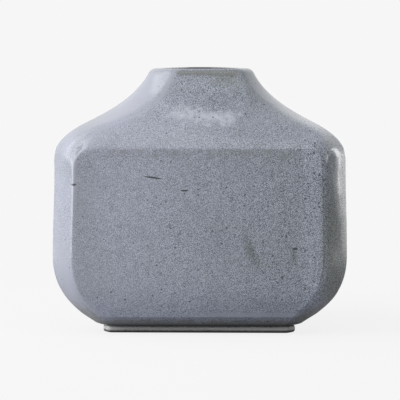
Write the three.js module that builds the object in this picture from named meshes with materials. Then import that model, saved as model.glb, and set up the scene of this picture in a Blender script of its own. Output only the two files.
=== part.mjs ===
// Triangular vase, slab-built in stoneware.
// Three broad face slabs and three narrow corner strips stand on a base slab. A shoulder ring
// and a neck collar close them in to the mouth. The pieces are luted edge to edge with slip.
// Millimetres, +Z up. The origin is on the vase's axis, on the underside of the base slab,
// and the front face looks along -Y.
import * as THREE from 'three';
import { LoftGeometry } from 'three/addons/geometries/LoftGeometry.js';

// Heights of the pieces, stacked from the base up
const BASE_THICKNESS = 4;
const WALL_HEIGHT = 101.5;
const SHOULDER_RISE = 20;
const NECK_RISE = 23.6;

// Slab thickness, and the slip line between two luted pieces
const WALL = 6.5;
const JOINT_GAP = 0.3;

// Distance from the axis to the rounded corners, where their outline turns
const BASE_RADIUS = 60.5;
const BELLY_RADIUS = 90.5;
const TOP_RADIUS = 89.5;
const TURN_RADIUS = 68.9;
const LIP_RADIUS = 29.6;

// Heights of those turns: the belly above the foot of the walls, the easing of the shoulder
// below the top of the walls, and its steepest point above the top of the walls
const BELLY_RISE = 40;
const SHOULDER_EASE = 11.5;
const TURN_RISE = 14;

// Run outwards for each millimetre of rise, along the corners and up the middle of a face
const BASE_FLARE = 2.05;
const TURN_FLARE = -2.6;
const LIP_FLARE = -0.5;
const FACE_SHOULDER_FLARE = -0.4;
const FACE_LIP_FLARE = -0.1;

// Width of a corner strip, straight across between its two arrises
const CORNER_WIDTH = 25;
const BASE_CORNER_WIDTH = 17.4;
const LIP_CORNER_WIDTH = 22;

// Height of the undercut between the base and the lower arris of each face
const UNDERCUT_RISE = 6;

// Base slab edge: how far it stands in from the walls, and its rounded lower edge
const BASE_SET_BACK = 2;
const BASE_ROUND = 1.5;

// Rounding over of the lip, inside and outside
const LIP_ROUND = 2;

// Facets along each curve
const CORNER_STEPS = 6;
const UNDERCUT_STEPS = 4;
const LOWER_STEPS = 8;
const STRAIGHT_STEPS = 2;
const EASE_STEPS = 3;
const SHOULDER_STEPS = 6;
const NECK_STEPS = 7;
const ROUND_STEPS = 3;

// Levels worked out from the sizes above
const WALL_FOOT = BASE_THICKNESS + JOINT_GAP;
const FACE_EDGE = WALL_FOOT + UNDERCUT_RISE;
const BELLY = WALL_FOOT + BELLY_RISE;
const WALL_TOP = WALL_FOOT + WALL_HEIGHT;
const EASE = WALL_TOP - SHOULDER_EASE;
const SHOULDER_FOOT = WALL_TOP + JOINT_GAP;
const SHOULDER_TOP = SHOULDER_FOOT + SHOULDER_RISE;
const NECK_FOOT = SHOULDER_TOP + JOINT_GAP;
const LIP = NECK_FOOT + NECK_RISE;

// Plan: three sides, each a face and the corner that follows it
const SIDES = 3;
const SIDE_ANGLE = 2 * Math.PI / SIDES;
const HALF_SIDE = SIDE_ANGLE / 2;
const FRONT = -Math.PI / 2;

const GLAZE = { color: 0x8b919c, roughness: 0.45, metalness: 0 };
const BARE_CLAY = { color: 0x5d5d5c, roughness: 0.85, metalness: 0 };

const CORNER_TURNS = [
  { z: WALL_FOOT, value: BASE_RADIUS, slope: BASE_FLARE },
  { z: BELLY, value: BELLY_RADIUS, slope: 0 },
  { z: EASE, value: TOP_RADIUS, slope: 0 },
  { z: WALL_TOP + TURN_RISE, value: TURN_RADIUS, slope: TURN_FLARE },
  { z: LIP, value: LIP_RADIUS, slope: LIP_FLARE },
];

// Cubic between two heights, each with its own value and slope
function bend(z, low, high) {
  const span = high.z - low.z;
  const t = (z - low.z) / span;
  const start = low.value * (1 + 2 * t) + low.slope * span * t;
  const end = high.value * (3 - 2 * t) + high.slope * span * (t - 1);
  return start * (1 - t) ** 2 + end * t ** 2;
}

// Levels from one height to another, both included
function levels(from, to, steps) {
  return Array.from({ length: steps + 1 }, (_, i) => THREE.MathUtils.lerp(from, to, i / steps));
}

// How far a rounded edge has drawn in, at a distance from the end that it rounds
function drawnIn(distance, round) {
  const rest = Math.max(round - distance, 0);
  return round - Math.sqrt(round ** 2 - rest ** 2);
}

// Axis to corner at a height
function cornerRadius(z) {
  const next = Math.max(1, CORNER_TURNS.findIndex((turn) => z <= turn.z));
  return bend(z, CORNER_TURNS[next - 1], CORNER_TURNS[next]);
}

// Axis to face, for a corner strip of a given width on a given radius
function faceDistanceFor(radius, width) {
  return radius * Math.cos(HALF_SIDE - Math.asin(width / 2 / radius));
}

// Axis to the middle of a face at a height
function faceDistance(z) {
  if (z < FACE_EDGE) {
    const foot = faceDistanceFor(BASE_RADIUS, BASE_CORNER_WIDTH);
    const edge = faceDistanceFor(cornerRadius(FACE_EDGE), CORNER_WIDTH);
    return THREE.MathUtils.mapLinear(z, WALL_FOOT, FACE_EDGE, foot, edge);
  }
  if (z <= WALL_TOP) return faceDistanceFor(cornerRadius(z), CORNER_WIDTH);
  const arris = faceDistanceFor(cornerRadius(WALL_TOP), CORNER_WIDTH);
  const mouth = faceDistanceFor(LIP_RADIUS, LIP_CORNER_WIDTH);
  const low = { z: WALL_TOP, value: arris, slope: FACE_SHOULDER_FLARE };
  const high = { z: LIP, value: mouth, slope: FACE_LIP_FLARE };
  return bend(z, low, high);
}

// Horizontal section of the outside at a height: axis to corner and axis to face
function outside(z) {
  const ease = drawnIn(LIP - z, LIP_ROUND);
  return { corner: cornerRadius(z) - ease, face: faceDistance(z) - ease };
}

// Horizontal section of the cavity. It follows the outside from a little lower in the bowl and
// a little higher in the neck, so that the sloping walls keep their thickness.
function inside(z) {
  const share = THREE.MathUtils.mapLinear(z, WALL_FOOT, LIP, -1, 1);
  const level = THREE.MathUtils.clamp(z + WALL * share, WALL_FOOT, LIP);
  const inset = WALL - drawnIn(LIP - z, LIP_ROUND);
  return { corner: cornerRadius(level) - inset, face: faceDistance(level) - inset };
}

function onRing(radius, angle, z) {
  return new THREE.Vector3(radius * Math.cos(angle), radius * Math.sin(angle), z);
}

// Angle from the middle of a face to its arris
function arrisAngle(section) {
  return Math.acos(section.face / section.corner);
}

// Straight edge of a section across one face
function faceEdge(section, z, heading, half) {
  const radius = section.face / Math.cos(half);
  return [onRing(radius, heading - half, z), onRing(radius, heading + half, z)];
}

// Rounded edge of a section across one corner, which runs into the flat of the faces beside it
function cornerEdge(section, z, heading, half) {
  return levels(-half, half, CORNER_STEPS).map((turn) => {
    const toFace = section.face / Math.cos(HALF_SIDE - Math.abs(turn));
    return onRing(Math.min(section.corner, toFace), heading + turn, z);
  });
}

// Closed outline of a section: each face, then the corner that follows it
function outline(section, z) {
  const arris = arrisAngle(section);
  const points = [];
  for (let side = 0; side < SIDES; side += 1) {
    const heading = FRONT + side * SIDE_ANGLE;
    points.push(...faceEdge(section, z, heading, arris));
    points.push(...cornerEdge(section, z, heading + HALF_SIDE, HALF_SIDE - arris).slice(1, -1));
  }
  return points;
}

// One upright slab of the wall. Its joints follow the outer arrises, square through the wall.
function wallSlab(edge, halfAngle, heading) {
  const heights = [
    ...levels(WALL_FOOT, FACE_EDGE, UNDERCUT_STEPS),
    ...levels(FACE_EDGE, BELLY, LOWER_STEPS).slice(1),
    ...levels(BELLY, EASE, STRAIGHT_STEPS).slice(1),
    ...levels(EASE, WALL_TOP, EASE_STEPS).slice(1),
  ];
  const sections = heights.map((z) => {
    const half = halfAngle(arrisAngle(outside(z)));
    const side = (section) => edge(section, z, heading, half - JOINT_GAP / 2 / section.corner);
    return [...side(outside(z)), ...side(inside(z)).reverse()];
  });
  return new LoftGeometry(sections, { capStart: true, capEnd: true });
}

function faceSlab(heading) {
  return wallSlab(faceEdge, (arris) => arris, heading);
}

function cornerStrip(heading) {
  return wallSlab(cornerEdge, (arris) => HALF_SIDE - arris, heading);
}

// A piece that runs right round the axis: the shoulder or the neck
function ringSlab(heights) {
  const outer = heights.map((z) => outline(outside(z), z));
  const inner = heights.map((z) => outline(inside(z), z));
  const columns = outer[0].map((_, i) => [
    ...inner.map((ring) => ring[i]),
    ...outer.map((ring) => ring[i]).reverse(),
  ]);
  return new LoftGeometry([...columns, columns[0]]);
}

function shoulderRing() {
  return ringSlab(levels(SHOULDER_FOOT, SHOULDER_TOP, SHOULDER_STEPS));
}

function neckCollar() {
  const roundFrom = LIP - LIP_ROUND;
  return ringSlab([
    ...levels(NECK_FOOT, roundFrom, NECK_STEPS),
    ...levels(roundFrom, LIP, ROUND_STEPS).slice(1),
  ]);
}

// The base slab takes the outline of the walls' foot, set back, with its lower edge rounded
function baseSlab() {
  const foot = outside(WALL_FOOT);
  const heights = [...levels(0, BASE_ROUND, ROUND_STEPS), BASE_THICKNESS];
  const sections = heights.map((z) => {
    const inset = BASE_SET_BACK + drawnIn(z, BASE_ROUND);
    return outline({ corner: foot.corner - inset, face: foot.face - inset }, z);
  });
  return new LoftGeometry(sections, { capStart: true, capEnd: true });
}

const vase = new THREE.Group();

function addPiece(name, geometry, finish) {
  const mesh = new THREE.Mesh(geometry, new THREE.MeshStandardMaterial(finish));
  mesh.name = name;
  vase.add(mesh);
}

addPiece('base_slab', baseSlab(), BARE_CLAY);

const FACE_NAMES = ['front', 'rear_right', 'rear_left'];
const CORNER_NAMES = ['front_right', 'rear', 'front_left'];
for (let side = 0; side < SIDES; side += 1) {
  const heading = FRONT + side * SIDE_ANGLE;
  addPiece(`${FACE_NAMES[side]}_face_slab`, faceSlab(heading), GLAZE);
  addPiece(`${CORNER_NAMES[side]}_corner_strip`, cornerStrip(heading + HALF_SIDE), GLAZE);
}

addPiece('shoulder_ring', shoulderRing(), GLAZE);
addPiece('neck_collar', neckCollar(), GLAZE);

export default vase;
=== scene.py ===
"""Triangular stoneware vase, slab-built and speckle-glazed, on a plain studio floor."""
import math
from functools import lru_cache
from typing import NamedTuple

import bmesh
import bpy
from bpy.props import FloatProperty, PointerProperty, StringProperty
from mathutils import Matrix, Vector, noise


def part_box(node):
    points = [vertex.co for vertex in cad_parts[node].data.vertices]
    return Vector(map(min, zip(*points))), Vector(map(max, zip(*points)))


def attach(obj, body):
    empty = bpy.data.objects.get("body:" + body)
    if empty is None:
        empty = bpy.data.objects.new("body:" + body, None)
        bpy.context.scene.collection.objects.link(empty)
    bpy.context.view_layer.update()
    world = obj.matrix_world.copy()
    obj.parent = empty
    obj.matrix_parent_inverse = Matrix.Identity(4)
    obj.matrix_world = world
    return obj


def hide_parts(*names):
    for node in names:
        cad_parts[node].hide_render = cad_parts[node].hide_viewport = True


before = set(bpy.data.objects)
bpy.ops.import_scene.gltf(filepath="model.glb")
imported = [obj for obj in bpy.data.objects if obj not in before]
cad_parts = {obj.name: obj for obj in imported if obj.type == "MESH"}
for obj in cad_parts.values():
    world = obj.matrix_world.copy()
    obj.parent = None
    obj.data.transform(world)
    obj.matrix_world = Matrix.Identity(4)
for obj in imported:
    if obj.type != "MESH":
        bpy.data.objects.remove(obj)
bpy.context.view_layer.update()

bl_info = {
    "name": "Triangular vase",
    "version": (1, 0, 0),
    "blender": (4, 5, 0),
    "location": "3D View > Sidebar > Vase",
    "description": "Models a slab-built stoneware vase, its glaze and a plain studio",
    "category": "Add Mesh",
}

BODY = "root"
MM = 0.001

# Levels of the joints between the pieces, and of the lip
WALL_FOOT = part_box("front_face_slab")[0].z
WALL_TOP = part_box("front_face_slab")[1].z
NECK_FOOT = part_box("neck_collar")[0].z
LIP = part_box("neck_collar")[1].z

# Plan: three sides, each a face and the corner that follows it, from the front face round
SIDES = 3
SIDE_ANGLE = 2 * math.pi / SIDES
HALF_SIDE = SIDE_ANGLE / 2
FRONT = -math.pi / 2
FACE_SLABS = ("front_face_slab", "rear_right_face_slab", "rear_left_face_slab")
CORNER_STRIPS = ("front_right_corner_strip", "rear_corner_strip", "front_left_corner_strip")

# Faces along each stretch of the surface
FACE_COLUMNS = 96
CORNER_COLUMNS = 24
UNDERCUT_ROWS = 12
WALL_ROWS = 110
SHOULDER_ROWS = 24
NECK_ROWS = 40
FOOT_ROWS = 8

# Edges of the finished pieces that stay sharp
SHARP_ANGLE = math.radians(50)

# Gap under which the two ends of a ring are one, and drop below the lip at which the painted shade inside
# the mouth starts
WELD = 0.001 * MM
MOUTH_SHADE_DROP = 0.2 * MM

# Bands of height in which one form eases into the next
SHOULDER_BAND = (WALL_TOP - 12 * MM, WALL_TOP + 8 * MM)
BROW_BAND = (WALL_TOP - 4 * MM, WALL_TOP + 10 * MM)
SKEW_BAND = (WALL_TOP, NECK_FOOT + 10 * MM)
NECK_BAND = (NECK_FOOT - 4 * MM, NECK_FOOT + 14 * MM)
TILT_BAND = (LIP - 10 * MM, LIP)


def length(name, description, millimetres):
    """A length that a user can change, given here in millimetres."""
    return FloatProperty(
        name=name, description=description, default=millimetres * MM, unit="LENGTH", precision=4
    )


def angle(name, description, degrees):
    """An angle that a user can change, given here in degrees."""
    return FloatProperty(
        name=name, description=description, default=math.radians(degrees), subtype="ANGLE"
    )


def ratio(name, description, value):
    """A plain number that a user can change."""
    return FloatProperty(name=name, description=description, default=value)


def power(name, description, watts):
    """A lamp's power that a user can change."""
    return FloatProperty(name=name, description=description, default=watts, unit="POWER")


def colour(name, description, code):
    """A colour that a user can change, as an sRGB hex value."""
    return StringProperty(name=name, description=description, default=code)


class VaseForm(bpy.types.PropertyGroup):
    """Sizes of the vase's outside, of its walls and of its hand-made unevenness"""

    base_radius: length("Base radius", "Axis to corner at the foot of the walls", 63.7)
    belly_radius: length("Belly radius", "Axis to corner at the widest level", 90.5)
    top_radius: length("Top radius", "Axis to corner where the shoulder starts to ease in", 89.5)
    turn_radius: length("Turn radius", "Axis to corner at the steepest part of the shoulder", 68.9)
    lip_radius: length("Lip radius", "Axis to corner at the lip", 29.6)
    belly_rise: length("Belly rise", "Foot of the walls to the widest level", 40)
    shoulder_ease: length("Shoulder ease", "Start of the shoulder's easing below the wall top", 11.5)
    turn_rise: length("Turn rise", "Wall top to the steepest part of the shoulder", 14)
    undercut_rise: length("Undercut rise", "Foot of the walls to the lower arris of a face", 6)
    base_flare: ratio("Base flare", "Run out for each unit of rise at the foot", 1.6)
    turn_flare: ratio("Turn flare", "Run out for each unit of rise on the shoulder", -2.6)
    lip_flare: ratio("Lip flare", "Run out for each unit of rise at the lip's corners", -0.5)
    face_shoulder_flare: ratio("Face shoulder flare", "Run out just above a face", -0.4)
    face_lip_flare: ratio("Face lip flare", "Run out at the lip's flat sides", -0.1)
    corner_width: length("Corner width", "Straight across a corner strip", 25)
    base_corner_width: length("Base corner width", "Straight across a corner at the foot", 17.4)
    lip_corner_width: length("Lip corner width", "Straight across a corner at the lip", 22)
    wall: length("Wall", "Thickness of the slabs", 6.5)
    lip_round: length("Lip round", "Rounding over of the lip, outside", 2.6)
    mouth_round: length("Mouth round", "Rounding over of the lip, inside", 0.4)
    undercut_hollow: ratio("Undercut hollow", "Power of the undercut's curve: 1 is straight", 1.5)
    foot_set_back: length("Foot set-back", "Corners of the base slab, in from the walls", 2.3)
    foot_shift: length("Foot shift", "Base slab, off the axis to the left", 0.6)
    foot_corner_width: length("Foot corner width", "Straight across a corner of the base slab", 8)
    foot_round: length("Foot round", "Rounding under the base slab's edge", 1.4)
    foot_top_round: length("Foot top round", "Rounding over the base slab's edge", 1.5)
    foot_ease: length("Foot ease", "Softening of the base slab's corners", 1.5)
    joint_round: length("Joint round", "Rounding of the walls into the joint on the base slab", 1)
    arris_ease: length("Arris ease", "Softening of the upright arrises on the walls", 0.8)
    right_ease: length("Right ease", "Softening of the front face's right arris", 2.5)
    worn_width: length("Worn width", "Width of the front face's worn right arris", 1.3)
    worn_slope: ratio("Worn slope", "Fall of the surface across that worn arris", 0.8)
    foot_melt: length("Foot melt", "Softening of the front face's left arris at the foot of the walls", 4)
    foot_melt_rise: length("Foot melt rise", "Height in which that softening dies out", 24)
    shoulder_melt: length("Shoulder melt", "Softening of the front arrises on the shoulder", 12)
    rear_melt: length("Rear melt", "Softening of the other arrises on the shoulder", 3.4)
    neck_ease: length("Neck ease", "Softening of the arrises on the neck", 2.2)
    edge_ease: length("Edge ease", "Softening of the arrises along a face's top and foot", 0.35)
    face_round: length("Face round", "Radius of the front face's upper left corner", 8.5)
    face_round_slope: ratio("Face round slope", "Fall of the surface outside that corner", 1.2)
    face_round_ease: length("Face round ease", "Softening of the arris round that corner", 0.8)
    other_round_share: ratio("Other round share", "Share of that fall at the other corners", 0.1)
    face_round_fade: length("Face round fade", "Rise in which that corner dies out on the shoulder", 14)
    face_round_melt: length("Face round melt", "Softening of that arris on the shoulder", 16)
    right_tuck: length("Right tuck", "Foot of the walls, drawn in on the right", 1.8)
    right_tuck_rise: length("Right tuck rise", "Height in which that tuck dies out", 18)
    lip_tilt: length("Lip tilt", "Back of the lip, above its front", 0.1)
    neck_skew: angle("Neck skew", "Turn of the neck's front side to the right of the body's", 9)
    wave: length("Wave", "Slow unevenness of the hand-built slabs", 0.35)
    wave_length: length("Wave length", "Distance between slow waves", 55)
    dent: length("Dent", "Small unevenness left by smoothing the clay", 0.1)
    dent_length: length("Dent length", "Distance between small dents", 13)


class VaseGlaze(bpy.types.PropertyGroup):
    """Colours of the glaze and of the bare clay, with painted shade and light among them"""

    body: colour("Glaze", "Main colour of the glaze", "#9c9fac")
    speck_dark: colour("Dark speckle", "Fine speckle where the clay shows through", "#3a4048")
    speck_pale: colour("Pale speckle", "Fine speckle where the glaze lies thick", "#bfc5d8")
    # Its growth to the right also paints shade on that side
    olive: colour("Olive patch", "Tint where the glaze lies a little thin", "#ced3ca")
    # Lower down it also paints the shade on that corner
    warm: colour("Warm strip", "Tint of the browner glaze on the right corner", "#dadac9")
    stain: colour("Stain", "Tint of the greenish smears under the glaze", "#a9b4a6")
    iron: colour("Iron speck", "Iron that burnt through the glaze", "#3c4044")
    # Also paints the shade on the strips' undersides, near the foot
    thin: colour("Thin glaze", "Glaze that has run thin over an edge", "#6f7069")
    # Painted shade: darkens the crease above the foot, where the walls' shadow falls
    crease: colour("Crease", "Bare clay in the hollow above the foot", "#262727")
    # Painted shade: darkens the inside of the mouth, where it lies in shadow
    liner: colour("Liner", "Darker glaze inside", "#4b4e52")
    # Also laid low on the walls as painted light from the floor
    pool: colour("Pooled glaze", "Glaze that has gathered at the foot of the neck", "#c8ccd8")
    # Dark clay; its darkness above and below the foot's ridge is partly painted shade
    clay: colour("Bare clay", "Worn clay along the foot's edges", "#4e4e50")
    # Painted light: the pale band along the foot's ridge, where the light falls
    slip: colour("Slip", "Pale dry slip along the middle of the foot", "#c4c4c5")


class VaseStudio(bpy.types.PropertyGroup):
    """Camera, lamps, room, floor and dark card"""

    camera_distance: length("Camera distance", "Camera to the vase's axis, over the floor", 1600)
    camera_height: length("Camera height", "Camera above the floor", 184)
    camera_turn: angle("Camera turn", "Camera round to the right from the front face", 1.7)
    camera_side: length("Camera side", "Camera and its aim, moved to the right of the axis", -0.9)
    aim_height: length("Aim height", "Level that the camera looks at", 73.55)
    frame_width: length("Frame width", "Width of the picture at the vase's axis", 231.9)
    side_power: power("Side power", "Large soft lamp on the left", 7.6)
    skirt_power: power("Skirt power", "Low wide lamp on the left", 2.4)
    key_power: power("Key power", "Narrow upright lamp on the left of the front", 1.5)
    fill_power: power("Fill power", "Soft lamp on the left of the front", 1.4)
    high_power: power("High power", "Lamp high at the front", 6.6)
    rim_power: power("Rim power", "Soft lamp behind on the right", 0.3)
    edge_power: power("Edge power", "Low lamp behind on the right", 0.35)
    spark_power: power("Spark power", "Narrow upright lamp far round on the right", 0.35)
    right_power: power("Right power", "Lamp on the right, cut off low down by the dark card", 3.6)
    ambient: ratio("Ambient", "Strength of the room's light from all round", 0.5)
    pale: colour("Pale", "Floor and backdrop where they show plain", "#f6f6f6")
    paper: colour("Paper", "Floor, as the light meets it", "#a2a2a2")
    shaded_paper: colour("Shaded paper", "Floor, as the camera sees it under the vase's shadow", "#ededed")
    card: colour("Card", "Dark card on the right", "#272727")
    room: colour("Room", "Light of the room", "#ffffff")


class Turn(NamedTuple):
    """A turn of an outline: its level, its distance from the axis, and its run out for each unit of rise."""

    level: float
    reach: float
    flare: float


def bend(z, low, high):
    """Distance from the axis on the cubic between two turns of an outline."""
    span = high.level - low.level
    t = (z - low.level) / span
    start = low.reach * (1 + 2 * t) + low.flare * span * t
    end = high.reach * (3 - 2 * t) + high.flare * span * (t - 1)
    return start * (1 - t) ** 2 + end * t ** 2


def drawn_in(distance, radius):
    """How far a rounded edge has drawn in, at a distance from the end that it rounds."""
    rest = max(radius - distance, 0)
    return radius - math.sqrt(max(radius ** 2 - rest ** 2, 0))


def soft_min(first, second, ease):
    """The lesser of two distances, eased where they cross."""
    near = max(ease - abs(first - second), 0) / ease
    return min(first, second) - near ** 2 * ease / 4


def smooth_step(value, low, high):
    """0 below a low value, 1 above a high one, and a smooth rise between."""
    share = min(max((value - low) / (high - low), 0), 1)
    return share * share * (3 - 2 * share)


def gathered(steps):
    """Shares from 0 to 1, gathered towards both ends, where the arrises are."""
    return [smooth_step(i, 0, steps) for i in range(steps + 1)]


def levels(low, high, steps):
    """Levels between two heights, gathered towards both."""
    return [low + (high - low) * share for share in gathered(steps)]


def nearest_face(heading):
    """Which face a heading looks over, counted from the front, and its turn from the middle."""
    round_from_front = (heading - FRONT + HALF_SIDE) % (2 * math.pi)
    side = int(round_from_front // SIDE_ANGLE)
    return side, round_from_front - side * SIDE_ANGLE - HALF_SIDE


class Section(NamedTuple):
    """A level section: axis to corner, axis to face, and the angle from a face's middle to its arris."""

    corner: float
    face: float
    arris: float


class Column(NamedTuple):
    """An upright line on the surface: a share of the way from the middle of a face or corner."""

    middle: float
    share: float
    on_corner: bool


def face_columns(side):
    """Columns across one face, from arris to arris."""
    middle = FRONT + side * SIDE_ANGLE
    return [Column(middle, 2 * share - 1, False) for share in gathered(FACE_COLUMNS)]


def corner_columns(side):
    """Columns across the corner that follows a face."""
    middle = FRONT + side * SIDE_ANGLE + HALF_SIDE
    return [Column(middle, 2 * share - 1, True) for share in gathered(CORNER_COLUMNS)]


def ring_columns():
    """Columns right round the axis, with the first one again at the end."""
    columns = []
    for side in range(SIDES):
        columns += face_columns(side)[:-1]
        columns += corner_columns(side)[:-1]
    return columns + columns[:1]


class VaseSurface:
    """The vase's outside and inside as distances from its axis, worked out from its sizes."""

    def __init__(self, form):
        self.form = {name: getattr(form, name) for name in VaseForm.__annotations__}
        self.lower_arris = WALL_FOOT + form.undercut_rise
        self.ease_level = WALL_TOP - form.shoulder_ease
        self.corner_turns = [
            Turn(WALL_FOOT, form.base_radius, form.base_flare),
            Turn(WALL_FOOT + form.belly_rise, form.belly_radius, 0),
            Turn(self.ease_level, form.top_radius, 0),
            Turn(WALL_TOP + form.turn_rise, form.turn_radius, form.turn_flare),
            Turn(LIP, form.lip_radius, form.lip_flare),
        ]
        self.foot_face = self.face_for(form.base_radius, form.base_corner_width)
        self.lower_arris_face = self.face_for(self.corner(self.lower_arris), form.corner_width)
        top = self.face_for(form.top_radius, form.corner_width)
        mouth = self.face_for(form.lip_radius, form.lip_corner_width)
        self.top_turn = Turn(WALL_TOP, top, form.face_shoulder_flare)
        self.mouth_turn = Turn(LIP, mouth, form.face_lip_flare)
        # Every column asks for the same levels, so each section is worked out once
        self.section = lru_cache(maxsize=None)(self.section)

    def corner(self, z):
        """Axis to corner at a level."""
        turns = self.corner_turns
        highest = len(turns) - 1
        above = next((i for i in range(1, highest) if z <= turns[i].level), highest)
        return bend(z, turns[above - 1], turns[above])

    @staticmethod
    def face_for(radius, width):
        """Axis to face, for a corner strip of a given width on a given radius."""
        return radius * math.cos(HALF_SIDE - math.asin(width / 2 / radius))

    def face(self, z):
        """Axis to the middle of a face at a level, eased at its lower and upper arris."""
        ease = self.form["edge_ease"]
        wall = self.face_for(self.corner(min(z, self.ease_level)), self.form["corner_width"])
        share = max(z - WALL_FOOT, 0) / self.form["undercut_rise"]
        run_out = (self.lower_arris_face - self.foot_face) * share ** self.form["undercut_hollow"]
        undercut = self.foot_face + run_out
        shoulder = bend(max(z, WALL_TOP), self.top_turn, self.mouth_turn)
        shoulder += self.form["face_shoulder_flare"] * min(z - WALL_TOP, 0)
        return soft_min(soft_min(undercut, wall, ease), shoulder, ease)

    def section(self, z, lift, inset):
        """Section that lies a lift above a level, inset."""
        level = min(max(z + lift, WALL_FOOT), LIP)
        corner = self.corner(level) - inset
        face = self.face(level) - inset
        return Section(corner, face, math.acos(min(face / corner, 1)))

    def foot_section(self, inset):
        """Section of the base slab, inset."""
        corner = self.form["base_radius"] - self.form["foot_set_back"]
        face = self.face_for(corner, self.form["foot_corner_width"])
        return Section(corner - inset, face - inset, math.acos(face / corner))

    def over_face(self, heading, z):
        """Which face a heading looks over, and its turn from the middle of that face.

        The neck's front side is cut askew.
        """
        side, turn = nearest_face(heading)
        if side == 0:
            turn -= self.form["neck_skew"] * smooth_step(z, *SKEW_BAND)
        return side, turn

    def outside(self, z):
        """Section of the outside, with the lip rounded over and the foot rounded under."""
        lip = drawn_in(LIP - z, self.form["lip_round"])
        return self.section(z, 0, lip + drawn_in(z - WALL_FOOT, self.form["joint_round"]))

    def arris_ease(self, side, turn, z):
        """Softening of the upright arrises: crisp on the walls, melted on the shoulder."""
        form = self.form
        crisp = form["right_ease"] if side == 0 and turn > 0 else form["arris_ease"]
        above = smooth_step(z, *SHOULDER_BAND)
        neck = smooth_step(z, *NECK_BAND)
        shoulder = form["shoulder_melt"] if side == 0 else form["rear_melt"]
        melted = shoulder + (form["neck_ease"] - shoulder) * neck
        low = 1 - smooth_step(z, WALL_FOOT, WALL_FOOT + form["foot_melt_rise"])
        foot = form["foot_melt"] if side == 0 and turn < 0 else crisp
        wall = crisp + (foot - crisp) * low
        return wall + (melted - wall) * above

    def inside(self, z):
        """Section of the inside, moved so that the sloping walls keep their thickness."""
        wall = self.form["wall"]
        share = 2 * (z - WALL_FOOT) / (LIP - WALL_FOOT) - 1
        return self.section(z, wall * share, wall - drawn_in(LIP - z, self.form["mouth_round"]))

    def heading(self, column, z):
        """Angle round the axis of a column at a level."""
        arris = self.outside(z).arris
        half = HALF_SIDE - arris if column.on_corner else arris
        return column.middle + column.share * half

    def rounded_corner(self, side, turn, z):
        """How far a face has fallen away outside the round corner of its outline."""
        section = self.outside(min(z, WALL_TOP))
        radius = self.form["face_round"]
        across = radius - max(math.tan(section.arris) - math.tan(abs(turn)), 0) * section.face
        up = radius - max(WALL_TOP - z, 0)
        past = max(math.hypot(max(across, 0), max(up, 0)) - radius, 0)
        fade = 1 - smooth_step(z, WALL_TOP, WALL_TOP + self.form["face_round_fade"])
        strength = 1 if side == 0 and turn < 0 else self.form["other_round_share"]
        ease = self.form["face_round_ease"] + smooth_step(z, *BROW_BAND) * self.form["face_round_melt"]
        eased = past ** 2 / (past + ease)
        return eased * fade * strength * self.form["face_round_slope"]

    def worn_arris(self, side, turn, z):
        """How far the front face has fallen away along its worn right arris."""
        section = self.outside(z)
        past = self.form["worn_width"] - (math.tan(section.arris) - math.tan(turn)) * section.face
        if side or past < 0:
            return 0
        fade = 1 - smooth_step(z, *BROW_BAND)
        return min(past, self.form["worn_width"]) * self.form["worn_slope"] * fade

    def unevenness(self, spot):
        """Hand-made waves and dents at a place on the surface."""
        slow = noise.noise(spot / self.form["wave_length"])
        small = noise.noise(spot / self.form["dent_length"])
        return slow * self.form["wave"] + small * self.form["dent"]

    @staticmethod
    def radius(section, turn, drop, ease):
        """Axis to surface at an angle from the middle of the nearest face."""
        return soft_min(section.corner, (section.face - drop) / math.cos(turn), ease)

    def point(self, heading, z, inner=False):
        """Place on the outside or the inside."""
        side, turn = self.over_face(heading, z)
        aim = Vector((math.cos(heading), math.sin(heading), 0))
        section = self.inside(z) if inner else self.outside(z)
        drop = 0 if inner else self.rounded_corner(side, turn, z) + self.worn_arris(side, turn, z)
        reach = self.radius(section, turn, drop, self.arris_ease(side, turn, z))
        if not inner:
            reach += self.unevenness(aim * reach + Vector((0, 0, z))) - self.tucked(heading, z)
        return aim * reach + Vector((0, 0, z + self.tilted(heading, z)))

    def tucked(self, heading, z):
        """How far the foot of the walls is drawn in on the right."""
        low = 1 - smooth_step(z, WALL_FOOT, WALL_FOOT + self.form["right_tuck_rise"])
        return self.form["right_tuck"] * low * max(math.cos(heading), 0)

    def tilted(self, heading, z):
        """How far the lip rises at the back, and falls at the front."""
        return self.form["lip_tilt"] / 2 * smooth_step(z, *TILT_BAND) * math.sin(heading)


# Places across a face, where -1 is its left arris and 1 its right one
NEAR_ARRIS = (0.8, 1)
OVER_ARRIS = (0.97, 1.05)
TAIL_SIDE = (-0.3, 0.3)
BEAD_SIDE = (-0.5, 0.7)

# Glaze run thin, by the drop below the lip: it starts, ends, and ends later on the right
LIP_THIN_START = (0.4 * MM, 1.6 * MM)
LIP_THIN_END = (1.6 * MM, 6 * MM)
TAIL_END = (8 * MM, 16 * MM)

# A darker band on the brow of the faces and painted shade low on the strips, by height, and glaze run thin
# over the lower arris
BROW_DARK_RISE = (WALL_TOP - 10 * MM, WALL_TOP - 3 * MM)
UNDER_SHADE_RISE = (8 * MM, 26 * MM)
EDGE_THIN = (-4 * MM, 0.5 * MM)

# Width of the thin glaze along an upright arris, for each unit that the arris is eased
ARRIS_THIN = 3

# Most of the darkening in each of these places, from glaze run off, the darker brow and the painted shade
# under the strips, and what the strips keep at the lip
TAIL_LOSS = 0.42
BROW_DARK_MOST = 0.42
UNDER_SHADE_MOST = 0.75
EDGE_LOSS = 0.75
ARRIS_LOSS = 0.2
STRIP_KEEPS = 0.6

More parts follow.
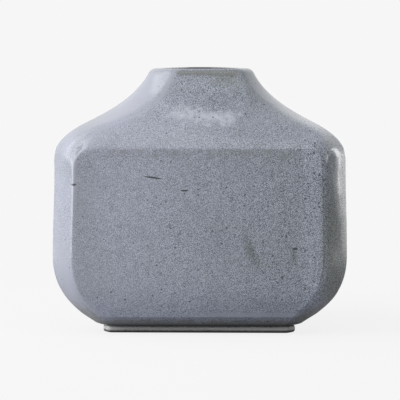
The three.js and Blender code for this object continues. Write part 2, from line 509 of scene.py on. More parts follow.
# Glaze that lies thick and even, by height and over the lower arris, and a painted highlight beside the left
# arris
SHOULDER_COAT = (WALL_TOP - 4 * MM, WALL_TOP + 6 * MM)
NECK_COAT = (NECK_FOOT - 8 * MM, NECK_FOOT + 2 * MM)
LOW_COAT = (24 * MM, 64 * MM)
BEAD_FOOT = (0, 0.8 * MM)
BEAD_TOP = (1.4 * MM, 3.6 * MM)
ARRIS_HIGHLIGHT_HALF = (0.6 * MM, 1.6 * MM)
ARRIS_HIGHLIGHT_RISE = (60 * MM, 96 * MM)

# Where a strip's coat starts across a face, and how much wider that start is on the shoulder
STRIP_START = (0.95, 1.1)
STRIP_MELT = 0.3

# How much more evenly the glaze lies on a strip's wall, and what its shoulder, neck and foot add; on the
# left strips this is partly a painted sheen
LEFT_COAT_AND_SHEEN = (0.1, 0.25, 0.1, 0.35)
RIGHT_COAT = (0, 0.1, 0.35, 0)

# How far to the left a heading points, from -1 to 1, where the right coat gives way to the left one
LEFTWARDS = (-0.4, 0.4)

# What is gained all round the shoulder, lost on the neck's sides, and gained in the bead and in the painted
# highlight on the left arris
SHOULDER_GAIN = 0.12
NECK_LOSS = 0.25
BEAD_GAIN = 0.8
ARRIS_HIGHLIGHT_GAIN = 0.5

# Streak of gathered glaze under the neck: its sag, the rise of its ends and its half width
POOL_SAG = 6 * MM
POOL_RISE = 2.5 * MM
POOL_HALF = 9 * MM

# Places across a face where that streak hangs lowest, starts and ends
POOL_LOWEST = 0.2
POOL_START = (-1.1, -0.4)
POOL_END = (0.35, 0.75)


class GlazeCover:
    """Where the glaze on the outside has run thin, lies thick or has gathered."""

    def __init__(self, surface):
        self.surface = surface

    def thin(self, heading, z):
        """Share of the darkening: glaze run off at the lip, on the arrises and over the lower arris, a
        darker band on the brows, and painted shade low on the strips.
        """
        _, turn = self.surface.over_face(heading, z)
        corner, face, arris = self.surface.outside(z)
        across = turn / arris
        on_strip = smooth_step(abs(across), *NEAR_ARRIS)
        from_arris = abs(corner - face / math.cos(turn))
        on_arris = 1 - smooth_step(from_arris, 0, ARRIS_THIN * self.surface.form["arris_ease"])
        drop = LIP - z
        lip = smooth_step(drop, *LIP_THIN_START) - smooth_step(drop, *LIP_THIN_END)
        tail = smooth_step(drop, *LIP_THIN_END) - smooth_step(drop, *TAIL_END)
        lip += TAIL_LOSS * smooth_step(across, *TAIL_SIDE) * tail
        # A darker band under the top arris of each face
        brow = smooth_step(z, *BROW_DARK_RISE) if z < WALL_TOP else 0
        # Painted shade on the strips' undersides, near the foot
        under = smooth_step(abs(across), *OVER_ARRIS) * (1 - smooth_step(z, *UNDER_SHADE_RISE))
        edge = 1 - smooth_step(z - self.surface.lower_arris, *EDGE_THIN)
        return max(
            lip * (1 - STRIP_KEEPS * on_strip),
            BROW_DARK_MOST * brow * (1 - on_strip),
            ARRIS_LOSS * on_arris,
            UNDER_SHADE_MOST * under,
            EDGE_LOSS * edge,
        )

    def thick(self, heading, z):
        """How much more evenly the glaze lies than on the faces, or less so where it is under 0.

        It lies even on the strips and the shoulder and in a bead over the lower arris; on the left strips
        it is partly a painted sheen, and along the upper left arris it is a painted highlight.
        """
        _, turn = self.surface.over_face(heading, z)
        corner, _, arris = self.surface.outside(z)
        across = turn / arris
        shoulder = smooth_step(z, *SHOULDER_COAT)
        neck = smooth_step(z, *NECK_COAT)
        low = 1 - smooth_step(z, *LOW_COAT)
        melt = STRIP_MELT * shoulder
        on_strip = smooth_step(abs(across), STRIP_START[0] - melt, STRIP_START[1] + melt)
        zones = (1, shoulder, neck, low)
        # The left strips' calmer, paler coat is partly painted sheen
        left = sum(coat * zone for coat, zone in zip(LEFT_COAT_AND_SHEEN, zones))
        right = sum(coat * zone for coat, zone in zip(RIGHT_COAT, zones))
        strip = right + (left - right) * smooth_step(-math.cos(heading), *LEFTWARDS)
        over_edge = z - self.surface.lower_arris
        bead = smooth_step(over_edge, *BEAD_FOOT) - smooth_step(over_edge, *BEAD_TOP)
        bead *= smooth_step(across, *BEAD_SIDE) * (1 - on_strip)
        from_left_arris = abs(turn + arris) * corner
        # Painted highlight: a calm pale line along the upper left arris, where a glint falls
        broken = (1 - smooth_step(from_left_arris, *ARRIS_HIGHLIGHT_HALF)) * smooth_step(z, *ARRIS_HIGHLIGHT_RISE)
        face = SHOULDER_GAIN * shoulder - NECK_LOSS * neck * (1 - on_strip)
        return face + strip * on_strip + BEAD_GAIN * bead + ARRIS_HIGHLIGHT_GAIN * broken

    def pooled(self, heading, z):
        """Share of the streak of gathered glaze that hangs across each face under the neck."""
        _, turn = self.surface.over_face(heading, z)
        across = turn / self.surface.outside(z).arris
        level = NECK_FOOT + POOL_RISE - POOL_SAG * (1 - (across - POOL_LOWEST) ** 2)
        along = smooth_step(across, *POOL_START) - smooth_step(across, *POOL_END)
        return along * (1 - smooth_step(abs(z - level), 0, POOL_HALF))


def surface_piece(surface, columns, heights, closed):
    """A piece of the wall: a grid laid on the outside, then drawn through to the inside."""
    bm = bmesh.new()
    across, up = len(columns) - 1, len(heights) - 1
    bmesh.ops.create_grid(bm, x_segments=across, y_segments=up, size=1)
    thin = bm.verts.layers.float.new("thin_glaze")
    pooled = bm.verts.layers.float.new("pooled_glaze")
    thick = bm.verts.layers.float.new("thick_glaze")
    inside_shade_layer = bm.verts.layers.float.new("inside")
    cover = GlazeCover(surface)
    places = {}
    for vert in bm.verts:
        column = columns[round((vert.co.x + 1) / 2 * across)]
        z = heights[round((vert.co.y + 1) / 2 * up)]
        heading = surface.heading(column, z)
        vert.co = surface.point(heading, z)
        vert[thin] = cover.thin(heading, z)
        vert[pooled] = cover.pooled(heading, z)
        vert[thick] = cover.thick(heading, z)
        places[vert.co.copy().freeze()] = (heading, z)
    if closed:
        bmesh.ops.remove_doubles(bm, verts=bm.verts, dist=WELD)
    inner = bmesh.ops.extrude_face_region(bm, geom=bm.faces[:], use_keep_orig=True)["geom"]
    for vert in inner:
        if isinstance(vert, bmesh.types.BMVert):
            heading, z = places[vert.co.copy().freeze()]
            vert.co = surface.point(heading, z, inner=True)
            vert[thin] = 0
            vert[pooled] = 0
            # Painted shade inside the mouth, from just below the lip down
            vert[inside_shade_layer] = smooth_step(LIP - z, 0, MOUTH_SHADE_DROP)
    return bm


def add_object(bm, name, material):
    """Makes an object of the scene from a bmesh."""
    mesh = bpy.data.meshes.new(name)
    bm.to_mesh(mesh)
    bm.free()
    mesh.materials.append(material)
    made = bpy.data.objects.new(name, mesh)
    bpy.context.scene.collection.objects.link(made)
    return made


def add_piece(bm, name, material):
    """Makes a piece of the vase from a bmesh, in place of the solid of that name."""
    bmesh.ops.recalc_face_normals(bm, faces=bm.faces)
    for face in bm.faces:
        face.smooth = True
    for edge in bm.edges:
        edge.smooth = len(edge.link_faces) == 2 and edge.calc_face_angle() < SHARP_ANGLE
    piece = add_object(bm, f"{name}_look", material)
    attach(piece, BODY)
    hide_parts(name)


def linear(code):
    """Linear colour of an sRGB hex value."""
    channels = [int(code[i:i + 2], 16) / 255 for i in (1, 3, 5)]
    lit = [c / 12.92 if c <= 0.04045 else ((c + 0.055) / 1.055) ** 2.4 for c in channels]
    return (*lit, 1)


# Sockets of a Mix node for colours: its share, the colour under, the colour over and the result
MIX_SHARE = 0
MIX_UNDER = 6
MIX_OVER = 7
MIX_RESULT = 2


def add_node(tree, kind, inputs=(), **settings):
    """Adds a node with its settings, and with values or links in its inputs."""
    node = tree.nodes.new(kind)
    for name, value in settings.items():
        setattr(node, name, value)
    for key, value in dict(inputs).items():
        if isinstance(value, bpy.types.NodeSocket):
            tree.links.new(value, node.inputs[key])
        else:
            node.inputs[key].default_value = value
    return node


def new_material(name):
    """An empty node material, ready for its nodes."""
    material = bpy.data.materials.new(name)
    material.use_nodes = True
    material.node_tree.nodes.clear()
    return material


def per_metre(millimetres):
    """Texture scale that repeats a pattern every so many millimetres."""
    return 1 / (millimetres * MM)


def calculated(tree, operation, *values, clamp=False):
    """Result of a sum on masks and numbers."""
    node = add_node(tree, "ShaderNodeMath", enumerate(values), operation=operation, use_clamp=clamp)
    return node.outputs[0]


def mapped(tree, value, start, end, low=0, high=1):
    """Mask that goes from a low to a high share while a value goes from its start to its end."""
    node = add_node(tree, "ShaderNodeMapRange", {
        "Value": value, "From Min": start, "From Max": end, "To Min": low, "To Max": high,
    })
    return node.outputs["Result"]


def clouds(tree, place, millimetres, detail, roughness=0.5, distortion=0):
    """Noise from 0 to 1 with a pattern of a given size."""
    node = add_node(tree, "ShaderNodeTexNoise", {
        "Vector": place, "Scale": per_metre(millimetres),
        "Detail": detail, "Roughness": roughness, "Distortion": distortion,
    })
    return node.outputs["Fac"]


def blended(tree, share, under, over, blend="MIX"):
    """Colour with another laid over it, by a share."""
    node = add_node(tree, "ShaderNodeMix", {
        MIX_SHARE: share, MIX_UNDER: under, MIX_OVER: over,
    }, data_type="RGBA", blend_type=blend)
    return node.outputs[MIX_RESULT]


def coordinate(tree, place, axis):
    """How far a place lies along an axis."""
    return add_node(tree, "ShaderNodeSeparateXYZ", {0: place}).outputs[axis]


def from_origin(tree, place):
    """How far a place lies from the origin."""
    return add_node(tree, "ShaderNodeVectorMath", {0: place}, operation="LENGTH").outputs["Value"]


def stored(tree, name):
    """Mask that is stored on the mesh."""
    return add_node(tree, "ShaderNodeAttribute", attribute_name=name).outputs["Fac"]


# Sizes of the patterns in the glaze and in the clay, in millimetres
GRAIN = 0.4
MOTTLE = 4.5
CALM_PATCH = 24
OLIVE_PATCH = 38
SPECK_CELL = 2.6
POOL_CLOUD = 4.5
THIN_EDGE = 5
PEEL = 6
GRIT = 1.8

# Turn of the glaze's grain about each axis, and the stretch of its mottle down the walls
GRAIN_TURN = (0.6, 0.5, 0.4)
MOTTLE_STRETCH = (1, 1, 0.6)

# Share of the mottle in the grain, weight of the clouds that break the streak, and what calm glaze hides
MOTTLE_SHARE = 0.08
CLOUD_WEIGHT = 2
SPECK_HIDDEN = 0.15

# Values between which each mask goes from nothing to its most, and that most
GRAIN_RANGE = (0.43, 0.66)
CALM_RANGE = (0.35, 0.65)
CALM_MOST = 0.15
OLIVE_RANGE = (0.5, 0.8)
OLIVE_MOST = 0.3
POOL_RANGE = (1.4, 2.4)
POOL_MOST = 0.68
THIN_RANGE = (0.8, 1.2)
THIN_MOST = 0.65

# Least chance for a speck, the largest one's radius and soft rim in cells, and its depth of colour
SPECK_CHANCE = 0.5
SPECK_RADIUS = 0.32
SPECK_RIM = 0.08
SPECK_MOST = 0.8

# How far the grain, the dimples, the flaws and the grit raise or sink the surface
GRAIN_RELIEF = 0.005 * MM
PEEL_RELIEF = 0.1 * MM
SPECK_RELIEF = -0.1 * MM
SCRATCH_RELIEF = -0.25 * MM
GRIT_RELIEF = 0.15 * MM


class Mark(NamedTuple):
    """A flaw in the glaze of the front face: its middle, half length, half width and tilt."""

    across: float
    up: float
    half_length: float
    half_width: float
    tilt: float = 0


# Flaws that show on the front face, in millimetres and degrees
SCRATCHES = (
    Mark(-25.5, 89.8, 6.2, 0.5, 7.7),
    Mark(-8, 82.6, 2.8, 0.5),
    Mark(54, 50, 1.9, 0.8),
    Mark(-70, 85.7, 1.8, 0.7, -8),
)
STAINS = (
    Mark(53.4, 46.5, 7, 2.4, 90),
    Mark(29.2, 48.8, 14, 3.6, 67),
)
MARK_DEPTH = 10 * MM


def marked(tree, place, marks, core, strength):
    """Mask of the flaws: each is a long ellipsoid set in the front face, soft round its core."""
    whole = 0
    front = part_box("front_face_slab")[0].y
    for mark in marks:
        inside = add_node(tree, "ShaderNodeMapping", {
            "Vector": place,
            "Location": (mark.across * MM, front, mark.up * MM),
            "Rotation": (0, math.radians(mark.tilt), 0),
            "Scale": (mark.half_length * MM, MARK_DEPTH, mark.half_width * MM),
        }, vector_type="TEXTURE")
        shown = mapped(tree, from_origin(tree, inside.outputs[0]), 1, core, high=strength)
        whole = calculated(tree, "MAXIMUM", whole, shown)
    return whole


def pepper(tree, place, turned):
    """Fine grain over mottled runs, 0 where the clay shows and 1 where the glaze lies thick.

    The grain is turned, so that no face lies along the noise's own grid.
    """
    grain = clouds(tree, turned, GRAIN, detail=1)
    runs = add_node(tree, "ShaderNodeMapping", {"Vector": place, "Scale": MOTTLE_STRETCH}).outputs[0]
    mottle = clouds(tree, runs, MOTTLE, detail=3, roughness=0.6)
    both = calculated(tree, "MULTIPLY_ADD", mottle, MOTTLE_SHARE, grain)
    return mapped(tree, both, *GRAIN_RANGE)


class Ramp(NamedTuple):
    """A steady change of a mask along a value: where it starts and ends, and what it adds."""

    start: float
    end: float
    added: float


# Calm glaze towards the left, partly a painted sheen there, painted light low on the walls, and painted
# shade in the crease at their foot
CALM_AND_SHEEN_LEFT = Ramp(60 * MM, -80 * MM, 0.5)
BOUNCE_LIGHT_LOW = Ramp(WALL_FOOT + 40 * MM, WALL_FOOT + 6 * MM, 0.35)
CREASE_SHADE = Ramp(WALL_FOOT + 2.5 * MM, WALL_FOOT, 1)

# Olive tint: where it grows or fades across the vase and up it; its growth to the right also paints shade on
# that side
OLIVE_AND_SHADE_ACROSS = (
    Ramp(-72 * MM, -68 * MM, 0.25),
    Ramp(-64 * MM, -52 * MM, -0.25),
    Ramp(-40 * MM, 40 * MM, 0.5),
    Ramp(55 * MM, 63 * MM, -0.4),
)
OLIVE_UP = (
    Ramp(-5 * MM, 0, 0.25),
    Ramp(5 * MM, 40 * MM, 0.75),
    Ramp(128 * MM, 144 * MM, 1),
)


def ramped(tree, value, *ramps):
    """Mask that is the sum of steady changes along a value."""
    total = 0
    for ramp in ramps:
        change = mapped(tree, value, ramp.start, ramp.end, high=ramp.added)
        total = calculated(tree, "ADD", total, change)
    return total


def calm_patches(tree, place):
    """Mask of the patches where the glaze lies thick and even and hides the pepper, growing towards the
    left, where it also paints a sheen that veils the speckle.
    """
    cloud = clouds(tree, place, CALM_PATCH, detail=4, roughness=0.6)
    patch = mapped(tree, cloud, *CALM_RANGE, high=CALM_MOST)
    # Painted sheen: the speckle fades towards the left, where the light falls
    left = ramped(tree, coordinate(tree, place, "X"), CALM_AND_SHEEN_LEFT)
    held = calculated(tree, "ADD", stored(tree, "thick_glaze"), left)
    return calculated(tree, "ADD", patch, held, clamp=True)


def olive_patches_and_right_shade(tree, place):
    """Mask of the patches where the glaze lies thin and turns olive, growing to the right, where it also
    paints shade.
    """
    cloud = clouds(tree, place, OLIVE_PATCH, detail=5, roughness=0.65, distortion=0.4)
    patch = mapped(tree, cloud, *OLIVE_RANGE, high=OLIVE_MOST)
    across = ramped(tree, coordinate(tree, place, "X"), *OLIVE_AND_SHADE_ACROSS)
    up = ramped(tree, coordinate(tree, place, "Z"), *OLIVE_UP)
    return calculated(tree, "MULTIPLY_ADD", across, up, patch, clamp=True)


# Browner glaze on the right corner, stronger low down as painted shade: where it starts across the vase,
# where it weakens up it, and to what
WARM_ACROSS = (66 * MM, 74 * MM)
WARM_SHADE_UP = (60 * MM, 100 * MM)
WARM_SHADE_LEAST = 0.6


def warm_strip_and_low_shade(tree, place):
    """Mask of the right corner, where the glaze is browner, and stronger low down as painted shade."""
    strength = mapped(tree, coordinate(tree, place, "Z"), *WARM_SHADE_UP, low=1, high=WARM_SHADE_LEAST)
    return mapped(tree, coordinate(tree, place, "X"), *WARM_ACROSS, high=strength)


# Crowd of specks at the upper right of the front face: its middle, and the added chance towards it
SPECK_CROWD = (62 * MM, -50 * MM, 104 * MM)
CROWD_CHANCE = Ramp(30 * MM, 6 * MM, 0.22)


def iron_specks(tree, place, calm):
    """Mask of the round dark specks, most of them under a millimetre across and fewer in calm patches."""
    cells = add_node(tree, "ShaderNodeTexVoronoi", {"Vector": place, "Scale": per_metre(SPECK_CELL)})
    chance = add_node(tree, "ShaderNodeSeparateColor", {0: cells.outputs["Color"]}).outputs[0]
    away = add_node(tree, "ShaderNodeVectorMath", {0: place, 1: SPECK_CROWD}, operation="DISTANCE")
    crowd = ramped(tree, away.outputs["Value"], CROWD_CHANCE)
    radius = mapped(tree, calculated(tree, "ADD", chance, crowd), SPECK_CHANCE, 1, high=SPECK_RADIUS)
    hidden = calculated(tree, "MULTIPLY_ADD", calm, SPECK_HIDDEN, cells.outputs["Distance"])
    depth = calculated(tree, "SUBTRACT", radius, hidden)
    return mapped(tree, depth, 0, SPECK_RIM, high=SPECK_MOST)


def pooled_clouds(tree, turned):
    """Mask of the gathered glaze: the streak stored on the mesh, broken into clouds."""
    cloud = clouds(tree, turned, POOL_CLOUD, detail=4, roughness=0.65)
    broken = calculated(tree, "MULTIPLY_ADD", cloud, CLOUD_WEIGHT, stored(tree, "pooled_glaze"))
    return mapped(tree, broken, *POOL_RANGE, high=POOL_MOST)


def painted_floor_bounce(tree, place):
    """Mask of painted light low on the walls, lighter towards their foot, where the floor throws light up.
    """
    return ramped(tree, coordinate(tree, place, "Z"), BOUNCE_LIGHT_LOW)


def thin_glaze_and_shade_mask(tree, place):
    """Mask of the glaze run thin and of the painted shade under the strips: the share stored on the mesh,
    cut to an uneven edge.
    """
    uneven = clouds(tree, place, THIN_EDGE, detail=3, roughness=0.6)
    nudged = calculated(tree, "ADD", uneven, stored(tree, "thin_glaze"))
    return mapped(tree, nudged, *THIN_RANGE, high=THIN_MOST)


def painted_crease_shade(tree, place):
    """Mask of painted shade in the crease where the walls stand on the base slab."""
    return ramped(tree, coordinate(tree, place, "Z"), CREASE_SHADE)


def relief(tree, layers):
    """Surface normal for masks that each raise or sink the surface by a depth."""
    height = 0
    for mask, depth in layers:
        height = calculated(tree, "MULTIPLY_ADD", mask, depth, height)
    bump = add_node(tree, "ShaderNodeBump", {"Height": height, "Strength": 1, "Distance": 1})
    return bump.outputs["Normal"]


def speckled_glaze(glaze):
    """Reduction-fired stoneware glaze.

    Blue-grey and satin, peppered by the clay under it, with iron specks burnt through.
    It runs thin and olive over edges and gathers pale at the foot of the neck, and painted shade and light
    are laid into it.
    """
    material = new_material("speckled_stoneware_glaze")
    tree = material.node_tree
    place = add_node(tree, "ShaderNodeTexCoord").outputs["Object"]
    turned = add_node(tree, "ShaderNodeMapping", {"Vector": place, "Rotation": GRAIN_TURN}).outputs[0]
    grain = pepper(tree, place, turned)
    calm = calm_patches(tree, place)
    specks = iron_specks(tree, place, calm)
    scratches = marked(tree, place, SCRATCHES, core=0.65, strength=1)
    coat = blended(tree, grain, linear(glaze.speck_dark), linear(glaze.speck_pale))
    layers = (
        # Calm glaze, which also paints a sheen on the left and a highlight along the left arris
        (calm, glaze.body, "MIX"),
        # Painted light from the floor, low on the walls
        (painted_floor_bounce(tree, place), glaze.pool, "DODGE"),
        # Olive patches, partly painted shade on the right
        (olive_patches_and_right_shade(tree, place), glaze.olive, "MULTIPLY"),
        # Browner right corner, with painted shade lower down
        (warm_strip_and_low_shade(tree, place), glaze.warm, "MULTIPLY"),
        (pooled_clouds(tree, turned), glaze.pool, "MIX"),
        (marked(tree, place, STAINS, core=0, strength=0.8), glaze.stain, "MULTIPLY"),
        # Glaze run thin, with painted shade on the strips' undersides
        (thin_glaze_and_shade_mask(tree, place), glaze.thin, "MIX"),
        # Painted shade in the crease above the foot
        (painted_crease_shade(tree, place), glaze.crease, "MIX"),
        (specks, glaze.iron, "MIX"),
        (scratches, glaze.iron, "MIX"),
        # Painted shade inside the mouth
        (stored(tree, "inside"), glaze.liner, "MIX"),
    )
    for mask, code, blend in layers:
        coat = blended(tree, mask, coat, linear(code), blend)
    normal = relief(tree, (
        (grain, GRAIN_RELIEF),
        (clouds(tree, place, PEEL, detail=1), PEEL_RELIEF),
        (specks, SPECK_RELIEF),
        (scratches, SCRATCH_RELIEF),
    ))
    shader = add_node(tree, "ShaderNodeBsdfPrincipled", {
        "Base Color": coat, "Roughness": 0.18, "IOR": 1.5, "Normal": normal,
    })
    add_node(tree, "ShaderNodeOutputMaterial", {"Surface": shader.outputs["BSDF"]})
    return material


# Painted light along the foot's lit ridge: its level, how far it wanders, and how far from there it is gone
# or full
LIT_RIDGE_LEVEL = 3.2 * MM
LIT_RIDGE_WANDER = 1.2 * MM
LIT_RIDGE_GONE = 1.5 * MM
LIT_RIDGE_FULL = 0.5 * MM


def bare_stoneware(glaze):
    """Unglazed fired stoneware, matt and dry, with a pale band of painted light along the foot's lit ridge
    and darker clay above and below it, partly painted shade.
    """
    material = new_material("dry_foot_clay")
    tree = material.node_tree
    place = add_node(tree, "ShaderNodeTexCoord").outputs["Object"]
    grit = clouds(tree, place, GRIT, detail=3, roughness=0.65)
    level = calculated(tree, "MULTIPLY_ADD", grit, LIT_RIDGE_WANDER, coordinate(tree, place, "Z"))
    away = calculated(tree, "ABSOLUTE", calculated(tree, "SUBTRACT", level, LIT_RIDGE_LEVEL))
    # Painted light along the foot's ridge
    lit_share = mapped(tree, away, LIT_RIDGE_GONE, LIT_RIDGE_FULL)
    clay = blended(tree, lit_share, linear(glaze.clay), linear(glaze.slip))
    shader = add_node(tree, "ShaderNodeBsdfPrincipled", {
        "Base Color": clay, "Roughness": 0.7, "IOR": 1.5, "Normal": relief(tree, ((grit, GRIT_RELIEF),)),
    })
    add_node(tree, "ShaderNodeOutputMaterial", {"Surface": shader.outputs["BSDF"]})
    return material


def shared_material(name, make):
    """The material of that name, made the first time that a piece asks for it."""
    return bpy.data.materials.get(name) or make(bpy.context.scene.vase_glaze)


def add_glazed_piece(bm, name):
    """Makes a piece above the foot, in the glaze that they all share."""
    glaze = shared_material("speckled_stoneware_glaze", speckled_glaze)
    add_piece(bm, name, glaze)


class VASE_OT_base_slab(bpy.types.Operator):
    """Add the base slab: the low foot with its rounded lower edge"""

    bl_idname = "vase.base_slab"
    bl_label = "Base slab"

    def execute(self, context):
        """Draws the slab's outline up through its thickness, row by row."""
        surface = VaseSurface(context.scene.vase_form)
        form = surface.form
        columns = ring_columns()[:-1]
        bm = bmesh.new()
        bmesh.ops.create_circle(bm, cap_ends=True, radius=1, segments=len(columns))
        headings = [surface.heading(column, WALL_FOOT) for column in columns]
        ring = sorted(bm.verts, key=lambda vert: vert.index)
        for row, z in enumerate(levels(0, WALL_FOOT, FOOT_ROWS)):
            if row:
                top = max(bm.faces, key=lambda face: (len(face.verts), face.calc_center_median().z))
                made = bmesh.ops.extrude_face_region(bm, geom=[top], use_keep_orig=row == 1)["geom"]
                follow = {v.co.copy().freeze(): v for v in made if isinstance(v, bmesh.types.BMVert)}
                ring = [follow[vert.co.copy().freeze()] for vert in ring]
            inset = drawn_in(z, form["foot_round"]) + drawn_in(WALL_FOOT - z, form["foot_top_round"])
            section = surface.foot_section(inset)
            for vert, heading in zip(ring, headings):
                _, turn = nearest_face(heading)
                reach = surface.radius(section, turn, 0, form["foot_ease"])
                vert.co = (reach * math.cos(heading) - form["foot_shift"], reach * math.sin(heading), z)
        add_piece(bm, "base_slab", shared_material("dry_foot_clay", bare_stoneware))
        return {"FINISHED"}


def wall_heights(surface):
    """Levels of the rows up a wall, gathered at its foot, its lower arris and its top."""
    undercut = levels(WALL_FOOT, surface.lower_arris, UNDERCUT_ROWS)
    return undercut + levels(surface.lower_arris, WALL_TOP, WALL_ROWS)[1:]


class VASE_OT_face_slabs(bpy.types.Operator):
    """Add the three broad face slabs"""

    bl_idname = "vase.face_slabs"
    bl_label = "Face slabs"

    def execute(self, context):
        """Lays each slab between its two arrises."""
        surface = VaseSurface(context.scene.vase_form)
        for side, name in enumerate(FACE_SLABS):
            bm = surface_piece(surface, face_columns(side), wall_heights(surface), closed=False)
            add_glazed_piece(bm, name)
        return {"FINISHED"}


class VASE_OT_corner_strips(bpy.types.Operator):
    """Add the three narrow corner strips between the faces"""

    bl_idname = "vase.corner_strips"
    bl_label = "Corner strips"

    def execute(self, context):
        """Lays each strip between the faces beside it."""
        surface = VaseSurface(context.scene.vase_form)
        for side, name in enumerate(CORNER_STRIPS):
            bm = surface_piece(surface, corner_columns(side), wall_heights(surface), closed=False)
            add_glazed_piece(bm, name)
        return {"FINISHED"}


class VASE_OT_shoulder_ring(bpy.types.Operator):
    """Add the shoulder ring that closes the walls in"""

    bl_idname = "vase.shoulder_ring"
    bl_label = "Shoulder ring"

    def execute(self, context):
        """Lays the ring from the top of the walls to the foot of the neck."""
        surface = VaseSurface(context.scene.vase_form)
        heights = levels(WALL_TOP, NECK_FOOT, SHOULDER_ROWS)
        bm = surface_piece(surface, ring_columns(), heights, closed=True)
        add_glazed_piece(bm, "shoulder_ring")
        return {"FINISHED"}


class VASE_OT_neck_collar(bpy.types.Operator):
    """Add the neck collar with its rounded lip"""

    bl_idname = "vase.neck_collar"
    bl_label = "Neck collar"

    def execute(self, context):
        """Lays the collar from the shoulder to the lip."""
        surface = VaseSurface(context.scene.vase_form)
        heights = levels(NECK_FOOT, LIP, NECK_ROWS)
        bm = surface_piece(surface, ring_columns(), heights, closed=True)
        add_glazed_piece(bm, "neck_collar")
        return {"FINISHED"}


class Lamp(NamedTuple):
    """A soft lamp: where it stands, and the width and height of its face, in metres."""

    name: str
    place: tuple
    across: float
    tall: float


# Lamps round the vase: each one's power is in the studio's settings
LAMPS = (
    Lamp("side", (-0.9, 0, 0.62), 1.2, 1.1),
    Lamp("skirt", (-0.85, -0.2, 0.12), 0.8, 0.24),
    Lamp("key", (-0.7, -0.5, 0.55), 0.04, 0.7),
    Lamp("fill", (-0.8, -0.6, 0.3), 0.7, 0.6),
    Lamp("high", (0, -0.9, 1.4), 2, 1),
    Lamp("rim", (0.36, 0.5, 0.3), 0.58, 0.58),
    Lamp("edge", (0.36, 0.5, 0.1), 0.5, 0.2),
    Lamp("spark", (0.52, 0.28, 0.18), 0.03, 0.25),
    Lamp("right", (1.4, -0.5, 0.44), 0.6, 0.2),
)

# Dark card on the right, standing on the floor: its size and its middle, in metres
CARD_WIDE = 1.4
CARD_TALL = 0.24
CARD_PLACE = (0.7, -0.25, CARD_TALL / 2)

# Floor: its radius in metres, and its sides
FLOOR_RADIUS = 8
FLOOR_SIDES = 64

# Distances from the axis between which the vase's shade on the floor fades, in metres
SHADE_NEAR = 0.15
SHADE_FAR = 0.45

# Distances in front of the axis between which the glaze comes to mirror a plain floor, in metres
PLAIN_START = 0.05
PLAIN_FULL = 0.1

# Share of the floor that shows plain to the camera close to the vase
PLAIN_LEAST = 0.9


def background_rays(tree):
    """1 for the rays that see the background plainly, and 1 for those that see it in a gloss."""
    rays = add_node(tree, "ShaderNodeLightPath").outputs
    in_gloss = calculated(tree, "MAXIMUM", rays["Is Glossy Ray"], rays["Is Transmission Ray"])
    return rays["Is Camera Ray"], in_gloss


def plain_share(tree, plainly, in_gloss):
    """Share of the floor that shows plain: most of it to the camera, and the farther parts in a gloss."""
    place = add_node(tree, "ShaderNodeTexCoord").outputs["Object"]
    away = from_origin(tree, place)
    plain = mapped(tree, away, SHADE_NEAR, SHADE_FAR, low=PLAIN_LEAST)
    far_off = mapped(tree, away, SHADE_NEAR, SHADE_FAR)
    in_front = mapped(tree, coordinate(tree, place, "Y"), -PLAIN_START, -PLAIN_FULL)
    mirrored = calculated(tree, "MAXIMUM", far_off, in_front)
    gloss = calculated(tree, "MULTIPLY", in_gloss, mirrored)
    return calculated(tree, "MULTIPLY_ADD", plainly, plain, gloss)


def pale_floor(studio):
    """Matt pale paper: plain to the eye, with a soft shadow of the vase on it.

    The camera sees a paler paper than the light meets, which keeps the shadow faint.
    In the glaze the paper shows as it is lit close to the vase, and plain farther off.
    """
    material = new_material("pale_paper")
    tree = material.node_tree
    plainly, in_gloss = background_rays(tree)
    sheet = blended(tree, plainly, linear(studio.paper), linear(studio.shaded_paper))
    paper = add_node(tree, "ShaderNodeBsdfDiffuse", {"Color": sheet})
    plain = add_node(tree, "ShaderNodeEmission", {"Color": linear(studio.pale), "Strength": 1})
    mixed = add_node(tree, "ShaderNodeMixShader", {
        0: plain_share(tree, plainly, in_gloss), 1: paper.outputs[0], 2: plain.outputs[0],
    })
    add_node(tree, "ShaderNodeOutputMaterial", {"Surface": mixed.outputs[0]})
    return material


def add_floor(studio):
    """A plain pale floor, far wider than the view."""
    bm = bmesh.new()
    bmesh.ops.create_circle(bm, cap_ends=True, radius=FLOOR_RADIUS, segments=FLOOR_SIDES)
    floor = add_object(bm, "floor", pale_floor(studio))


def add_lamp(lamp, watts):
    """A soft lamp that looks at the middle of the vase."""
    light = bpy.data.lights.new(lamp.name, "AREA")
    light.shape = "RECTANGLE"
    light.size = lamp.across
    light.size_y = lamp.tall
    light.energy = watts
    holder = bpy.data.objects.new(lamp.name, light)
    holder.location = lamp.place
    aim = Vector((0, 0, LIP / 2)) - holder.location
    holder.rotation_euler = aim.to_track_quat("-Z", "Y").to_euler()
    holder.visible_camera = False
    bpy.context.scene.collection.objects.link(holder)


def black_card(studio):
    """Matt black card: it gives almost nothing back, so what mirrors it looks dark."""
    material = new_material("black_card")
    tree = material.node_tree
    matt = add_node(tree, "ShaderNodeBsdfDiffuse", {"Color": linear(studio.card)})
    add_node(tree, "ShaderNodeOutputMaterial", {"Surface": matt.outputs[0]})
    return material


def add_dark_card(studio):
    """A dark card on the right, which keeps light off that side and shows in its gloss."""
    bm = bmesh.new()
    bmesh.ops.create_grid(bm, x_segments=1, y_segments=1, size=CARD_TALL / 2)
    bmesh.ops.scale(bm, verts=bm.verts, vec=(1, CARD_WIDE / CARD_TALL, 1))
    bmesh.ops.rotate(bm, verts=bm.verts, matrix=Matrix.Rotation(math.pi / 2, 3, "Y"))
    bmesh.ops.translate(bm, verts=bm.verts, vec=CARD_PLACE)
    card = add_object(bm, "dark_card", black_card(studio))
    card.visible_camera = False


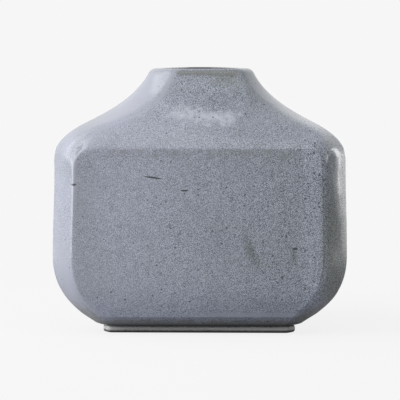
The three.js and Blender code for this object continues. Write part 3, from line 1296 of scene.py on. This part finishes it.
def add_room(studio):
    """Even light from all round, with the plain pale background where it is seen."""
    world = bpy.data.worlds.new("studio_room")
    bpy.context.scene.world = world
    world.use_nodes = True
    tree = world.node_tree
    tree.nodes.clear()
    room = add_node(tree, "ShaderNodeBackground", {
        "Color": linear(studio.room), "Strength": studio.ambient,
    })
    backdrop = add_node(tree, "ShaderNodeBackground", {"Color": linear(studio.pale), "Strength": 1})
    plainly, in_gloss = background_rays(tree)
    seen = calculated(tree, "MAXIMUM", plainly, in_gloss)
    mixed = add_node(tree, "ShaderNodeMixShader", {
        0: seen, 1: room.outputs[0], 2: backdrop.outputs[0],
    })
    add_node(tree, "ShaderNodeOutputWorld", {"Surface": mixed.outputs[0]})


def add_camera(studio):
    """A long lens, a little above the lip and nearly square on to the front face."""
    camera = bpy.data.cameras.new("camera")
    turn = studio.camera_turn
    place = Vector((
        studio.camera_distance * math.sin(turn),
        -studio.camera_distance * math.cos(turn),
        studio.camera_height,
    ))
    across = Vector((math.cos(turn), math.sin(turn), 0)) * studio.camera_side
    place += across
    aim = Vector((0, 0, studio.aim_height)) + across
    camera.lens = camera.sensor_width * (aim - place).length / studio.frame_width
    holder = bpy.data.objects.new("camera", camera)
    holder.location = place
    holder.rotation_euler = (aim - place).to_track_quat("-Z", "Y").to_euler()
    bpy.context.scene.collection.objects.link(holder)
    bpy.context.scene.camera = holder


class VASE_OT_studio(bpy.types.Operator):
    """Add the floor, the room, the soft lamps, the dark card and the camera"""

    bl_idname = "vase.studio"
    bl_label = "Studio"

    def execute(self, context):
        """Sets the stage round the vase."""
        studio = context.scene.vase_studio
        context.scene.view_settings.view_transform = "Standard"
        add_floor(studio)
        add_room(studio)
        for lamp in LAMPS:
            add_lamp(lamp, getattr(studio, f"{lamp.name}_power"))
        add_dark_card(studio)
        add_camera(studio)
        return {"FINISHED"}


class VASE_PT_sidebar(bpy.types.Panel):
    """The vase's pieces and sizes, in the 3D view's sidebar"""

    bl_idname = "VASE_PT_sidebar"
    bl_label = "Triangular vase"
    bl_space_type = "VIEW_3D"
    bl_region_type = "UI"
    bl_category = "Vase"

    def draw(self, context):
        """Lists each operator, then each group of settings."""
        for operator in OPERATORS:
            self.layout.operator(operator.bl_idname)
        for settings in (context.scene.vase_form, context.scene.vase_glaze, context.scene.vase_studio):
            column = self.layout.column()
            for name in type(settings).__annotations__:
                column.prop(settings, name)


OPERATORS = (
    VASE_OT_base_slab,
    VASE_OT_face_slabs,
    VASE_OT_corner_strips,
    VASE_OT_shoulder_ring,
    VASE_OT_neck_collar,
    VASE_OT_studio,
)
CLASSES = (VaseForm, VaseGlaze, VaseStudio, *OPERATORS, VASE_PT_sidebar)


def register():
    """Registers the classes and hangs the settings on the scene."""
    for made in CLASSES:
        bpy.utils.register_class(made)
    bpy.types.Scene.vase_form = PointerProperty(type=VaseForm)
    bpy.types.Scene.vase_glaze = PointerProperty(type=VaseGlaze)
    bpy.types.Scene.vase_studio = PointerProperty(type=VaseStudio)


def unregister():
    """Takes the settings and the classes away again."""
    del bpy.types.Scene.vase_studio
    del bpy.types.Scene.vase_glaze
    del bpy.types.Scene.vase_form
    for made in reversed(CLASSES):
        bpy.utils.unregister_class(made)


def main():
    """Builds the vase and its stage, piece by piece."""
    register()
    bpy.ops.vase.base_slab()
    bpy.ops.vase.face_slabs()
    bpy.ops.vase.corner_strips()
    bpy.ops.vase.shoulder_ring()
    bpy.ops.vase.neck_collar()
    bpy.ops.vase.studio()


if __name__ == "__main__":
    main()
